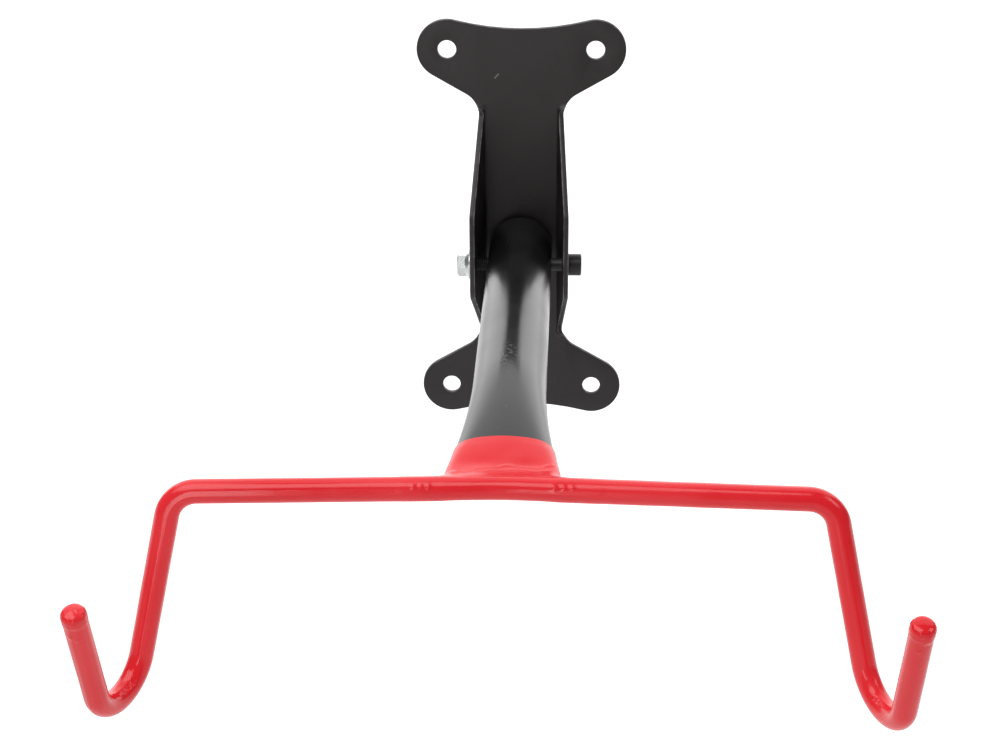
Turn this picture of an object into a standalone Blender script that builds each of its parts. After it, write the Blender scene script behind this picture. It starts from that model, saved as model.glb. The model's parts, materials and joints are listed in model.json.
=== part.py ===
"""Fold-up wall rack for one bicycle.

A folded steel wall plate carries a round tube arm on one cross bolt. The arm's front end is pressed flat
around a bent steel rod, whose two hooks take the bicycle's top tube. The rod and the pressed end are dipped
in vinyl. The arm lies level with its heel against the plate, and swings up until it stands along the wall.

World frame: the wall is the plane Y = 0, the rack stands out towards -Y, X is to the right and Z is up.
The origin is the middle of the plate's back face.
"""

import math

import bmesh
import bpy
from mathutils import Vector

# Clearances
GAP = 0.0003
SWING_GAP = 0.0015
STOP_GAP = 0.0005

# Arm tube
TUBE_DIAMETER = 0.038
TUBE_WALL = 0.0015
ARM_LENGTH = 0.297
FLATTEN_BEHIND = 0.112
FLAT_BEHIND = 0.012
PRESS_CURVE = 1.8

# Hook rod: each corner is given from the one before it, going out from the middle of the crossbar
ROD_DIAMETER = 0.010
BAR_HALF_LENGTH = 0.153
BAR_SWEEP = 0.008
VALLEY_OUT = 0.030
VALLEY_FORWARD = 0.026
VALLEY_DROP = 0.141
TIP_OUT = 0.0015
TIP_FORWARD = 0.0453
TIP_RISE = 0.1166
BAR_MIDDLE_BEND = 0.150
CORNER_BEND = 0.0145
VALLEY_BEND = 0.020

# Vinyl dip
VINYL = 0.0008
DIP_BEHIND = 0.034
TIP_DOME = 0.0020

# Welds between the rod and the pressed end of the tube
WELD_LENGTH = 0.008
WELD_BEHIND = 0.0033
WELD_HALF_WIDTH = 0.0083
WELD_BELOW_TUBE = 0.0008
WELD_TOE = 0.0006
WELD_ROOT = 0.004

# Pivot bolt and nut
BOLT_DIAMETER = 0.008
HEAD_DIAMETER = 1.5 * BOLT_DIAMETER + 0.001
HEAD_HEIGHT = BOLT_DIAMETER
SOCKET_WIDTH = 0.75 * BOLT_DIAMETER
SOCKET_DEPTH = 0.5 * BOLT_DIAMETER
NUT_WIDTH = 1.625 * BOLT_DIAMETER
NUT_HEIGHT = BOLT_DIAMETER
NUT_FLANGE_DIAMETER = 2.24 * BOLT_DIAMETER
NUT_FLANGE_RIM = 0.0012
NUT_FLANGE_HEIGHT = 0.0032
BOLT_RECESS = 0.0005
EDGE_CHAMFER = 0.0006

# Wall plate
SHEET = 0.003
HOLE_SPACING_X = 0.088
HOLE_SPACING_Z = 0.216
SCREW_HOLE = 0.011
LUG_RADIUS = 0.018
EDGE_DIP = 0.0055
FLANK_SLOPE = math.radians(30)
NECK_FILLET = 0.015
BEND_INSIDE = 0.002
ARM_SIDE_GAP = 0.0035
PIVOT_STANDOFF = 0.040
PIVOT_DROP = 0.013
BOLT_EDGE = 0.014
FLANGE_SPLAY = math.radians(4.3)
FLANGE_FRONT_ABOVE = 0.034
FLANGE_FRONT_BELOW = 0.0164
FLANGE_CORNER = 0.007
BEND_FADE = 0.008

# How finely the round parts are cut into flats
TUBE_SIDES = 24
ROD_SIDES = 12
SMALL_SIDES = 24
ARC_STEP = math.radians(14)
BEND_STEPS = 4
FADE_STEPS = 4

# Values that follow from the ones above
ROD_RADIUS = ROD_DIAMETER / 2
TUBE_END_HEIGHT = ROD_DIAMETER
NECK_HALF = TUBE_DIAMETER / 2 + ARM_SIDE_GAP + SHEET
BEND_START = NECK_HALF - SHEET - BEND_INSIDE
BEND_MIDDLE_RADIUS = BEND_INSIDE + SHEET / 2
BEND_ANGLE = math.pi / 2 - FLANGE_SPLAY
BEND_LENGTH = BEND_MIDDLE_RADIUS * BEND_ANGLE
FLANGE_DEPTH = PIVOT_STANDOFF + BOLT_EDGE
LUG_X = HOLE_SPACING_X / 2
LUG_Z = HOLE_SPACING_Z / 2
HEEL_LOW = PIVOT_STANDOFF - SHEET - STOP_GAP
HEEL_HIGH = math.sqrt((PIVOT_STANDOFF - SHEET - SWING_GAP) ** 2 - (TUBE_DIAMETER / 2) ** 2)

FACES = {
    "black_powder": ((0.018, 0.017, 0.017, 1.0), 0.42, 0.0),
    "black_gloss": ((0.012, 0.012, 0.013, 1.0), 0.25, 0.0),
    "red_vinyl": ((0.62, 0.012, 0.018, 1.0), 0.22, 0.0),
    "bright_zinc": ((0.74, 0.75, 0.76, 1.0), 0.25, 1.0),
    "black_oxide": ((0.020, 0.020, 0.021, 1.0), 0.40, 0.6),
    "bare_steel": ((0.42, 0.42, 0.43, 1.0), 0.45, 1.0),
    "weld_metal": ((0.34, 0.33, 0.33, 1.0), 0.55, 1.0),
}


def clear_scene():
    for old in list(bpy.data.objects):
        bpy.data.objects.remove(old, do_unlink=True)


def make_material(name):
    color, roughness, metallic = FACES[name]
    material = bpy.data.materials.new(name)
    material.use_nodes = True
    shader = material.node_tree.nodes["Principled BSDF"]
    shader.inputs["Base Color"].default_value = color
    shader.inputs["Roughness"].default_value = roughness
    shader.inputs["Metallic"].default_value = metallic
    return material


def add_object(name, bm, parent=None, material=None):
    """Turn a finished bmesh into a named object; without a material it is a hidden cutter."""
    bmesh.ops.recalc_face_normals(bm, faces=bm.faces)
    mesh = bpy.data.meshes.new(name)
    bm.to_mesh(mesh)
    bm.free()
    mesh.shade_smooth()
    mesh.set_sharp_from_angle(angle=math.radians(32))
    solid = bpy.data.objects.new(name, mesh)
    bpy.context.scene.collection.objects.link(solid)
    solid.parent = parent
    if material:
        mesh.materials.append(material)
    else:
        solid.hide_render = True
        solid.display_type = "WIRE"
    return solid


def combine(solid, operation, *others):
    for other in others:
        step = solid.modifiers.new(operation.lower() + "_" + other.name, "BOOLEAN")
        step.operation = operation
        step.object = other
        step.solver = "EXACT"


def loft(bm, rings):
    """Skin a row of rings that hold equally many points, and close both ends."""
    loops = [[bm.verts.new(point) for point in ring] for ring in rings]
    count = len(loops[0])
    for near, far in zip(loops, loops[1:]):
        for i in range(count):
            j = (i + 1) % count
            bm.faces.new((near[i], near[j], far[j], far[i]))
    bm.faces.new(loops[0])
    bm.faces.new(loops[-1])
    return bm


def turned(profile, sides=SMALL_SIDES, centre=(0.0, 0.0)):
    """A solid turned about a line along X; the profile lists (x, radius) from one end to the other."""
    rings = []
    for x, radius in profile:
        ring = []
        for i in range(sides):
            angle = 2 * math.pi * i / sides
            y = centre[0] + radius * math.cos(angle)
            z = centre[1] + radius * math.sin(angle)
            ring.append((x, y, z))
        rings.append(ring)
    return loft(bmesh.new(), rings)


def hexagon(x_from, x_to, width, centre=(0.0, 0.0)):
    radius = width / math.sqrt(3)
    return turned(((x_from, radius), (x_to, radius)), 6, centre)


# ---------------------------------------------------------------- wall plate


def arc(centre, radius, start, end):
    """Points along an arc in the plate's plane, both ends included."""
    steps = max(2, math.ceil(abs(end - start) / ARC_STEP))
    points = []
    for i in range(steps + 1):
        angle = start + (end - start) * i / steps
        points.append((centre[0] + radius * math.cos(angle), centre[1] + radius * math.sin(angle)))
    return points


def rounded_corner(before, corner, after, radius):
    """Points of a round corner between two straight edges."""
    to_before = (Vector(before) - Vector(corner)).normalized()
    to_after = (Vector(after) - Vector(corner)).normalized()
    half_angle = to_before.angle(to_after) / 2
    centre = Vector(corner) + (to_before + to_after).normalized() * radius / math.sin(half_angle)
    setback = radius / math.tan(half_angle)
    first = Vector(corner) + to_before * setback - centre
    last = Vector(corner) + to_after * setback - centre
    start = math.atan2(first.y, first.x)
    turn = (math.atan2(last.y, last.x) - start + math.pi) % (2 * math.pi) - math.pi
    return arc(centre, radius, start, start + turn)


def wing_edge():
    """The upper right quarter of the plate's edge, from its middle down to the neck."""
    slope_out = FLANK_SLOPE - math.pi / 2
    dip_z = LUG_Z + LUG_RADIUS - EDGE_DIP
    below = dip_z - LUG_Z
    dip_radius = (LUG_X**2 + below**2 - LUG_RADIUS**2) / (2 * (LUG_RADIUS - below))
    dip_centre = (0.0, dip_z + dip_radius)
    rise = math.atan2(dip_centre[1] - LUG_Z, LUG_X)
    points = arc(dip_centre, dip_radius, -math.pi / 2, -rise)
    points += arc((LUG_X, LUG_Z), LUG_RADIUS, math.pi - rise, slope_out)[1:]
    outward = Vector((math.cos(slope_out), math.sin(slope_out)))
    fillet_x = NECK_HALF + NECK_FILLET
    reach = outward.dot(Vector((LUG_X, LUG_Z))) + LUG_RADIUS + NECK_FILLET
    fillet_z = (reach - outward.x * fillet_x) / outward.y
    points += arc((fillet_x, fillet_z), NECK_FILLET, slope_out + math.pi, math.pi)
    return points


def blank_edge():
    """Half of the flat blank's edge, top to bottom on the right: wing, side tab, wing."""
    wing = wing_edge()
    neck_z = wing[-1][1]
    lean = BEND_INSIDE + SHEET - BEND_MIDDLE_RADIUS * math.cos(BEND_ANGLE)
    tab = BEND_START + BEND_LENGTH + (FLANGE_DEPTH - lean) / math.sin(BEND_ANGLE)
    upper = (tab, FLANGE_FRONT_ABOVE - PIVOT_DROP)
    lower = (tab, -FLANGE_FRONT_BELOW - PIVOT_DROP)
    points = wing
    points += rounded_corner(wing[-1], upper, lower, FLANGE_CORNER)
    points += rounded_corner(upper, lower, (NECK_HALF, -neck_z), FLANGE_CORNER)
    points += [(x, -z) for x, z in reversed(wing_edge())]
    return points, neck_z


def folded(x, depth, z, neck_z):
    """Where a point of the blank lands when its side tabs are folded forward."""
    side = math.copysign(1.0, x)
    run = abs(x) - BEND_START
    if run <= 0:
        return x, -depth, z
    fade = min(max((neck_z + BEND_FADE - abs(z)) / BEND_FADE, 0.0), 1.0)
    limit = BEND_ANGLE * fade * fade * (3 - 2 * fade)
    angle = min(run / BEND_MIDDLE_RADIUS, limit)
    beyond = run - angle * BEND_MIDDLE_RADIUS
    radius = BEND_INSIDE + SHEET - depth
    out = BEND_START + radius * math.sin(angle) + beyond * math.cos(angle)
    forward = BEND_INSIDE + SHEET - radius * math.cos(angle) + beyond * math.sin(angle)
    return side * out, -forward, z


def flange_face_x(forward):
    """Half the width over the two flanges, this far from the wall."""
    corner_x = BEND_START + (BEND_INSIDE + SHEET) * math.sin(BEND_ANGLE)
    corner_forward = (BEND_INSIDE + SHEET) * (1 - math.cos(BEND_ANGLE))
    return corner_x + (forward - corner_forward) * math.tan(FLANGE_SPLAY)


def build_wall_plate(material):
    half, neck_z = blank_edge()
    outline = half + [(-x, z) for x, z in reversed(half[1:-1])]
    bm = bmesh.new()
    bm.faces.new([bm.verts.new((x, 0.0, z)) for x, z in outline])
    columns = [BEND_START + BEND_LENGTH * i / BEND_STEPS for i in range(BEND_STEPS + 1)]
    rows = [neck_z + BEND_FADE * i / FADE_STEPS for i in range(FADE_STEPS + 1)]
    cuts = [((x, 0, 0), (1, 0, 0)) for side in (-1, 1) for x in [side * c for c in columns]]
    cuts += [((0, 0, z), (0, 0, 1)) for side in (-1, 1) for z in [side * r for r in rows]]
    for place, normal in cuts:
        everything = bm.verts[:] + bm.edges[:] + bm.faces[:]
        bmesh.ops.bisect_plane(bm, geom=everything, dist=1e-7, plane_co=place, plane_no=normal)
    back = bm.faces[:]
    extruded = bmesh.ops.extrude_face_region(bm, geom=back, use_keep_orig=True)
    front = [item for item in extruded["geom"] if isinstance(item, bmesh.types.BMVert)]
    bmesh.ops.translate(bm, verts=front, vec=(0.0, -SHEET, 0.0))
    for vert in bm.verts:
        vert.co = folded(vert.co.x, -vert.co.y, vert.co.z, neck_z)
    plate = add_object("wall_plate", bm, material=material)
    for side_x in (-1, 1):
        for side_z in (-1, 1):
            hole = drill("screw_hole", SCREW_HOLE, side_x * LUG_X, side_z * LUG_Z)
            combine(plate, "DIFFERENCE", hole)
    bore = BOLT_DIAMETER / 2 + GAP
    across = flange_face_x(FLANGE_DEPTH) + SHEET
    pin = turned(((-across, bore), (across, bore)), centre=(-PIVOT_STANDOFF, -PIVOT_DROP))
    combine(plate, "DIFFERENCE", add_object("flange_bore", pin))
    return plate


def drill(name, diameter, x, z):
    """A cutter along Y through the sheet."""
    bm = bmesh.new()
    bmesh.ops.create_cone(
        bm,
        cap_ends=True,
        segments=SMALL_SIDES,
        radius1=diameter / 2,
        radius2=diameter / 2,
        depth=4 * SHEET,
    )
    cutter = add_object(name, bm)
    cutter.rotation_euler = (math.pi / 2, 0.0, 0.0)
    cutter.location = (x, -SHEET / 2, z)
    return cutter


# ---------------------------------------------------------------- pivot bolt and nut


def build_bolt(material):
    axis = (-PIVOT_STANDOFF, -PIVOT_DROP)
    seat = flange_face_x(PIVOT_STANDOFF + HEAD_DIAMETER / 2) + GAP
    nut_seat = flange_face_x(PIVOT_STANDOFF + NUT_FLANGE_DIAMETER / 2) + GAP
    end = -(nut_seat + NUT_HEIGHT - BOLT_RECESS)
    shank = BOLT_DIAMETER / 2
    head = HEAD_DIAMETER / 2
    profile = (
        (end, shank - EDGE_CHAMFER),
        (end + EDGE_CHAMFER, shank),
        (seat, shank),
        (seat, head),
        (seat + HEAD_HEIGHT - EDGE_CHAMFER, head),
        (seat + HEAD_HEIGHT, head - EDGE_CHAMFER),
    )
    bolt = add_object("pivot_bolt", turned(profile, centre=axis), material=material)
    top = seat + HEAD_HEIGHT
    key = hexagon(top - SOCKET_DEPTH, top + SOCKET_DEPTH, SOCKET_WIDTH, axis)
    combine(bolt, "DIFFERENCE", add_object("key_socket", key))
    return bolt


def build_nut(material):
    axis = (-PIVOT_STANDOFF, -PIVOT_DROP)
    seat = -flange_face_x(PIVOT_STANDOFF + NUT_FLANGE_DIAMETER / 2) - GAP
    rim = NUT_FLANGE_DIAMETER / 2
    profile = (
        (seat, rim),
        (seat - NUT_FLANGE_RIM, rim),
        (seat - NUT_FLANGE_HEIGHT, NUT_WIDTH / 2),
    )
    nut = add_object("flange_nut", turned(profile, centre=axis), material=material)
    body = add_object("nut_body", hexagon(seat - NUT_HEIGHT, seat - EDGE_CHAMFER, NUT_WIDTH, axis))
    bore = BOLT_DIAMETER / 2 + GAP
    ends = ((seat - 2 * NUT_HEIGHT, bore), (seat + NUT_HEIGHT, bore))
    combine(nut, "UNION", body)
    combine(nut, "DIFFERENCE", add_object("nut_bore", turned(ends, centre=axis)))
    return nut


# ---------------------------------------------------------------- arm tube


def tube_height(forward):
    """The tube's height, this far along the arm from the pivot: round first, then pressed down."""
    start = ARM_LENGTH - FLATTEN_BEHIND
    end = ARM_LENGTH - FLAT_BEHIND
    share = min(max((forward - start) / (end - start), 0.0), 1.0)
    return TUBE_DIAMETER + (TUBE_END_HEIGHT - TUBE_DIAMETER) * share**PRESS_CURVE


def tube_ring(forward, offset):
    """One outline across the arm; pressing the tube keeps its length round."""
    height = tube_height(forward)
    half_flat = math.pi * (TUBE_DIAMETER - height) / 4
    radius = height / 2 + offset
    ring = []
    for i in range(TUBE_SIDES):
        angle = 2 * math.pi * (i + 0.5) / TUBE_SIDES
        x = math.copysign(half_flat, math.cos(angle)) + radius * math.cos(angle)
        ring.append((x, -forward, radius * math.sin(angle)))
    return ring


def tube_stations(start, end):
    """Places along the arm for a row of outlines: close together only where the height changes."""
    press_start = ARM_LENGTH - FLATTEN_BEHIND
    press_end = ARM_LENGTH - FLAT_BEHIND
    steps = 10
    between = [press_start + (press_end - press_start) * i / steps for i in range(steps + 1)]
    return [start] + [place for place in between if start < place < end] + [end]


def tube_solid(start, end, offset):
    return loft(bmesh.new(), [tube_ring(place, offset) for place in tube_stations(start, end)])


def heel_cutter(pivot):
    """Takes off the tube's rear end along a slant, so that the low edge bears on the plate."""
    tall = TUBE_DIAMETER
    slant = (HEEL_LOW - HEEL_HIGH) / TUBE_DIAMETER
    high = HEEL_HIGH - slant * (tall - TUBE_DIAMETER / 2)
    low = HEEL_LOW + slant * (tall - TUBE_DIAMETER / 2)
    back = 2 * HEEL_LOW
    rings = []
    for x in (-tall, tall):
        rings.append([(x, high, tall), (x, low, -tall), (x, back, -tall), (x, back, tall)])
    return add_object("heel_cut", loft(bmesh.new(), rings), pivot)


def build_arm_tube(pivot, rod_space, material):
    rear = -(HEEL_LOW + GAP)
    tube = add_object("arm_tube", tube_solid(rear, ARM_LENGTH, 0.0), pivot, material)
    overrun = TUBE_DIAMETER
    hollow = tube_solid(rear - overrun, ARM_LENGTH + overrun, -TUBE_WALL)
    bore = BOLT_DIAMETER / 2 + GAP
    across = TUBE_DIAMETER
    cuts = (
        add_object("tube_hollow", hollow, pivot),
        heel_cutter(pivot),
        add_object("tube_bore", turned(((-across, bore), (across, bore))), pivot),
        rod_space,
    )
    combine(tube, "DIFFERENCE", *cuts)
    return tube


# ---------------------------------------------------------------- hook rod, welds and vinyl


def rounded_path(corners, bends):
    """A line through the corners with an arc of its own radius at each inner one."""
    points = [Vector(corners[0])]
    for before, corner, after, radius in zip(corners, corners[1:], corners[2:], bends):
        to_before = (Vector(before) - Vector(corner)).normalized()
        to_after = (Vector(after) - Vector(corner)).normalized()
        half_angle = to_before.angle(to_after) / 2
        turn = math.pi - 2 * half_angle
        middle = (to_before + to_after).normalized()
        centre = Vector(corner) + middle * radius / math.sin(half_angle)
        tangent = (to_after - to_before).normalized()
        steps = max(2, math.ceil(turn / ARC_STEP))
        for i in range(steps + 1):
            angle = turn * (i / steps - 0.5)
            points.append(centre + radius * (tangent * math.sin(angle) - middle * math.cos(angle)))
    points.append(Vector(corners[-1]))
    return points


def rod_line():
    """The rod's centre line from the left tip to the right tip."""
    steps = (
        (BAR_HALF_LENGTH, BAR_SWEEP, 0.0),
        (VALLEY_OUT, VALLEY_FORWARD, -VALLEY_DROP),
        (TIP_OUT, TIP_FORWARD, TIP_RISE),
    )
    middle = Vector((0.0, -ARM_LENGTH, 0.0))
    right = []
    place = middle
    for out, forward, up in steps:
        place = place + Vector((out, -forward, up))
        right.append(place)
    left = [Vector((-corner.x, corner.y, corner.z)) for corner in reversed(right)]
    bends = (VALLEY_BEND, CORNER_BEND, BAR_MIDDLE_BEND, CORNER_BEND, VALLEY_BEND)
    return rounded_path(left + [middle] + right, bends)


def rod_solid(radius, overrun=0.0, dome=0.0):
    """The rod's line with a round section; overrun lengthens its ends and dome rounds them."""
    line = rod_line()
    first = (line[0] - line[1]).normalized()
    last = (line[-1] - line[-2]).normalized()
    line[0] = line[0] + first * overrun
    line[-1] = line[-1] + last * overrun
    sections = [(point, radius) for point in line]
    for angle in (math.radians(35), math.radians(65)) if dome else ():
        rise = dome * math.sin(angle)
        sections.insert(0, (line[0] + first * rise, radius * math.cos(angle)))
        sections.append((line[-1] + last * rise, radius * math.cos(angle)))
    points = [point for point, _ in sections]
    side = Vector((0.0, 0.0, 1.0))
    rings = []
    for i, (point, size) in enumerate(sections):
        ahead = points[min(i + 1, len(points) - 1)] - points[max(i - 1, 0)]
        ahead.normalize()
        side = (side - ahead * side.dot(ahead)).normalized()
        across = ahead.cross(side)
        ring = []
        for j in range(ROD_SIDES):
            angle = 2 * math.pi * (j + 0.5) / ROD_SIDES
            ring.append(point + size * (side * math.cos(angle) + across * math.sin(angle)))
        rings.append(ring)
    return loft(bmesh.new(), rings)


def weld_solid(side, grow):
    """A bead that fills the corner between the rod and the side of the pressed end."""
    half_width = math.pi * (TUBE_DIAMETER - TUBE_END_HEIGHT) / 4 + TUBE_END_HEIGHT / 2
    steps = 4
    rings = []
    for i in range(steps + 1):
        share = i / steps
        taper = (1 - share) ** 2
        x = side * (half_width - WELD_ROOT - grow + (WELD_ROOT + WELD_LENGTH + 2 * grow) * share)
        toe = ROD_RADIUS + WELD_TOE
        half_y = toe + (WELD_HALF_WIDTH - toe) * taper + grow
        half_z = toe + (TUBE_END_HEIGHT / 2 - WELD_BELOW_TUBE - toe) * taper + grow
        centre_y = -ARM_LENGTH + WELD_BEHIND * taper - BAR_SWEEP * abs(x) / BAR_HALF_LENGTH
        ring = []
        for j in range(SMALL_SIDES):
            angle = 2 * math.pi * (j + 0.5) / SMALL_SIDES
            ring.append((x, centre_y + half_y * math.cos(angle), half_z * math.sin(angle)))
        rings.append(ring)
    return loft(bmesh.new(), rings)


def build_welds(pivot, rod_space, tube_space, material):
    for name, side in (("weld_bead_left", -1), ("weld_bead_right", 1)):
        bead = add_object(name, weld_solid(side, 0.0), pivot, material)
        combine(bead, "DIFFERENCE", tube_space, rod_space)


def build_coating(pivot, rod_space, tube_space, material):
    """One skin over the rod, the welds and the pressed end, open where the tube comes out of it."""
    dip = ARM_LENGTH - DIP_BEHIND
    coating = add_object("hook_coating", tube_solid(dip, ARM_LENGTH, VINYL), pivot, material)
    bar = rod_solid(ROD_RADIUS + VINYL, overrun=VINYL, dome=TIP_DOME)
    combine(coating, "UNION", add_object("coating_bar", bar, pivot))
    for name, side in (("left", -1), ("right", 1)):
        web = add_object("coating_web_" + name, weld_solid(side, VINYL), pivot)
        combine(coating, "UNION", web)
    combine(coating, "DIFFERENCE", tube_space, rod_space)
    for name, side in (("left", -1), ("right", 1)):
        space = add_object("weld_space_" + name, weld_solid(side, GAP), pivot)
        combine(coating, "DIFFERENCE", space)
    return coating


def main():
    clear_scene()
    materials = {name: make_material(name) for name in FACES}
    pivot = bpy.data.objects.new("arm_pivot", None)
    pivot.location = (0.0, -PIVOT_STANDOFF, -PIVOT_DROP)
    bpy.context.scene.collection.objects.link(pivot)

    build_wall_plate(materials["black_powder"])
    build_bolt(materials["black_oxide"])
    build_nut(materials["bright_zinc"])

    rod_space = add_object("rod_space", rod_solid(ROD_RADIUS + GAP, overrun=GAP), pivot)
    dip = ARM_LENGTH - DIP_BEHIND
    tube_space = add_object("tube_space", tube_solid(dip - VINYL, ARM_LENGTH + GAP, GAP), pivot)
    build_arm_tube(pivot, rod_space, materials["black_gloss"])
    add_object("hook_bar", rod_solid(ROD_RADIUS), pivot, materials["bare_steel"])
    build_welds(pivot, rod_space, tube_space, materials["weld_metal"])
    build_coating(pivot, rod_space, tube_space, materials["red_vinyl"])


main()
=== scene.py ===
"""Looks of a fold-up bicycle wall rack: the wall plate, the pivot screw and nut, the pressed tube arm
and the vinyl-dipped crossbar and hooks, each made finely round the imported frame, with their finishes
and a plain studio.

The wall is the plane Y = 0 and the rack stands out towards -Y. X is to the right, Z is up, and sizes
are in metres.
"""

import json
import math

import bmesh
import bpy
from mathutils import Matrix, Vector, kdtree, noise


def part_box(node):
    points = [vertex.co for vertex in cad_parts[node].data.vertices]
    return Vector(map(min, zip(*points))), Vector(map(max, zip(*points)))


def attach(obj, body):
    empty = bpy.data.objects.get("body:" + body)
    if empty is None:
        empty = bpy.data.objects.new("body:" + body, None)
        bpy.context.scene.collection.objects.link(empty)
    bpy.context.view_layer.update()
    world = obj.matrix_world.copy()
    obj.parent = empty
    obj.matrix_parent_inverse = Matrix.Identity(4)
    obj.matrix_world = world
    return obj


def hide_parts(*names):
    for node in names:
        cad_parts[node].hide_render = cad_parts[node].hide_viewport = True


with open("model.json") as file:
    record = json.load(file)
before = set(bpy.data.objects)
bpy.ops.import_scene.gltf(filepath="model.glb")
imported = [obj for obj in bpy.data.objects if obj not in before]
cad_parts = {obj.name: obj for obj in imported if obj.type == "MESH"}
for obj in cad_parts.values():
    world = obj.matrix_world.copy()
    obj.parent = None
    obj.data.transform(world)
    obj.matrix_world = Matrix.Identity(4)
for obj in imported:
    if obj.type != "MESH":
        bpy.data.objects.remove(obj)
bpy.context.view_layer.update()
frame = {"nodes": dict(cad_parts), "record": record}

PIVOT = Vector(frame["record"]["behaviour"]["joints"][0]["pos_m"])
GAP = 0.0003
BORE_SIDES = 48
SAME_PLACE = 1e-6
ON_PLANE = 1e-7

# Arm tube
TUBE_DIAMETER = 0.038
TUBE_WALL = 0.0015
ARM_LENGTH = 0.297
FLATTEN_BEHIND = 0.112
FLAT_BEHIND = 0.012
PRESS_CURVE = 1.8
HEEL_LOW = 0.0365
HEEL_HIGH = 0.02998
TUBE_SIDES = 96
SLOT_SHARE_START = 0.15
SLOT_SHARE_GAIN = 0.65

# Hook rod, corner by corner from the middle of the crossbar
ROD_RADIUS = 0.005
VINYL = 0.0008
BAR_HALF_LENGTH = 0.153
BAR_SWEEP = 0.008
HOOK_STEPS = (
    (BAR_HALF_LENGTH, BAR_SWEEP, 0.0),
    (0.030, 0.026, -0.141),
    (0.0015, 0.0453, 0.1166),
)
ROD_BENDS = (0.020, 0.0145, 0.150, 0.0145, 0.020)
DIP_BEHIND = 0.034
TIP_DOME = 0.0020
WELD_LENGTH = 0.008
WELD_BEHIND = 0.0033
WELD_HALF_WIDTH = 0.0083
WELD_BELOW_TUBE = 0.0008
WELD_TOE = 0.0006
WELD_ROOT = 0.004
TUBE_END_HEIGHT = 2 * ROD_RADIUS

# Vinyl skin
SKIN_RADIUS = ROD_RADIUS + VINYL
SKIN_VOXEL = 0.00070
SKIN_PASSES = 8
CORNER_PASSES = 16
CORNER_HALF_WIDTH = 0.050
NEAR_BAR = 0.02
DIP_SPARE = 0.004
SNUG = 0.00005
TIP_SINK = 0.0002
CREASE_HEIGHT = 0.00030
CREASE_WIDTH = 0.0010
UNDERSIDE_LIFT = 0.00022
UNDERSIDE_END = 0.006
WELD_COVER = 0.0001
WELD_BUMP_SLOPE = math.radians(38)

# Pivot screw and nut, M8
BOLT_RADIUS = 0.004
BOLT_CORE_RADIUS = 0.0034
THREAD_PITCH = 0.00125
THREAD_LENGTH = 0.028
THREAD_START = 0.0008
THREAD_RISE = 0.45
THREAD_CREST = 0.60
HEAD_RADIUS = 0.0065
SOCKET_WIDTH = 0.006
SOCKET_DEPTH = 0.004
NUT_WIDTH = 0.013
NUT_FLANGE_RADIUS = 0.00896

# Wall plate
SHEET = 0.003
LUG_X = 0.044
LUG_Z = 0.108
SCREW_HOLE_RADIUS = 0.0055
LUG_RADIUS = 0.018
EDGE_DIP = 0.0055
FLANK_SLOPE = math.radians(30)
NECK_HALF = 0.0255
NECK_FILLET = 0.015
BEND_INSIDE = 0.002
FLANGE_DEPTH = 0.054
FLANGE_SPLAY = math.radians(4.3)
FLANGE_FRONT_ABOVE = 0.034
FLANGE_FRONT_BELOW = 0.0164
FLANGE_CORNER = 0.007
BEND_FADE = 0.008
BEND_START = NECK_HALF - SHEET - BEND_INSIDE
BEND_MIDDLE_RADIUS = BEND_INSIDE + SHEET / 2
BEND_ANGLE = math.pi / 2 - FLANGE_SPLAY
CUT_EDGE_ROUND = 0.00045
BEND_STRIPS = 8


# ---------------------------------------------------------------- helpers


def as_object(name, bm):
    mesh = bpy.data.meshes.new(name)
    bm.to_mesh(mesh)
    bm.free()
    made = bpy.data.objects.new(name, mesh)
    bpy.context.scene.collection.objects.link(made)
    return made


def settle(piece):
    """Replace a piece's mesh by what its modifiers make of it."""
    bpy.context.view_layer.update()
    graph = bpy.context.evaluated_depsgraph_get()
    mesh = bpy.data.meshes.new_from_object(piece.evaluated_get(graph))
    old = piece.data
    piece.modifiers.clear()
    piece.data = mesh
    bpy.data.meshes.remove(old)
    mesh.name = piece.name
    return piece


def combine(piece, operation, *others, solver="EXACT"):
    """Boolean the others into a piece, one after another, and remove them."""
    for other in others:
        step = piece.modifiers.new(operation, "BOOLEAN")
        step.operation = operation
        step.solver = solver
        step.object = other
    settle(piece)
    for other in others:
        bpy.data.objects.remove(other, do_unlink=True)
    return piece


def carve(piece, *cutters):
    """Cut closed shapes out of a closed piece with the quick solver, and remove them."""
    return combine(piece, "DIFFERENCE", *cutters, solver="MANIFOLD")


def bisect(bm, place, normal, **settings):
    everything = bm.verts[:] + bm.edges[:] + bm.faces[:]
    plane = {"plane_co": place, "plane_no": normal}
    bmesh.ops.bisect_plane(bm, geom=everything, dist=ON_PLANE, **plane, **settings)


def dress(piece, material, body, replaced, sharp=35.0):
    """Give a finished piece its finish, its body and the node it stands for."""
    piece.data.materials.clear()
    piece.data.materials.append(material)
    piece.data.shade_smooth()
    piece.data.set_sharp_from_angle(angle=math.radians(sharp))
    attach(piece, body)
    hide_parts(replaced)


def lathe(name, profile, steps=72):
    """A solid turned about the pivot's axis; the profile lists (x, radius) from end to end."""
    bm = bmesh.new()
    verts = [bm.verts.new((x, 0.0, radius)) for x, radius in profile]
    edges = [bm.edges.new(pair) for pair in zip(verts, verts[1:])]
    bmesh.ops.spin(
        bm,
        geom=verts + edges,
        axis=(1, 0, 0),
        cent=(0, 0, 0),
        angle=2 * math.pi,
        steps=steps,
        use_merge=True,
    )
    bmesh.ops.remove_doubles(bm, verts=bm.verts, dist=SAME_PLACE)
    bmesh.ops.recalc_face_normals(bm, faces=bm.faces)
    bmesh.ops.translate(bm, verts=bm.verts, vec=PIVOT)
    return as_object(name, bm)


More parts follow.
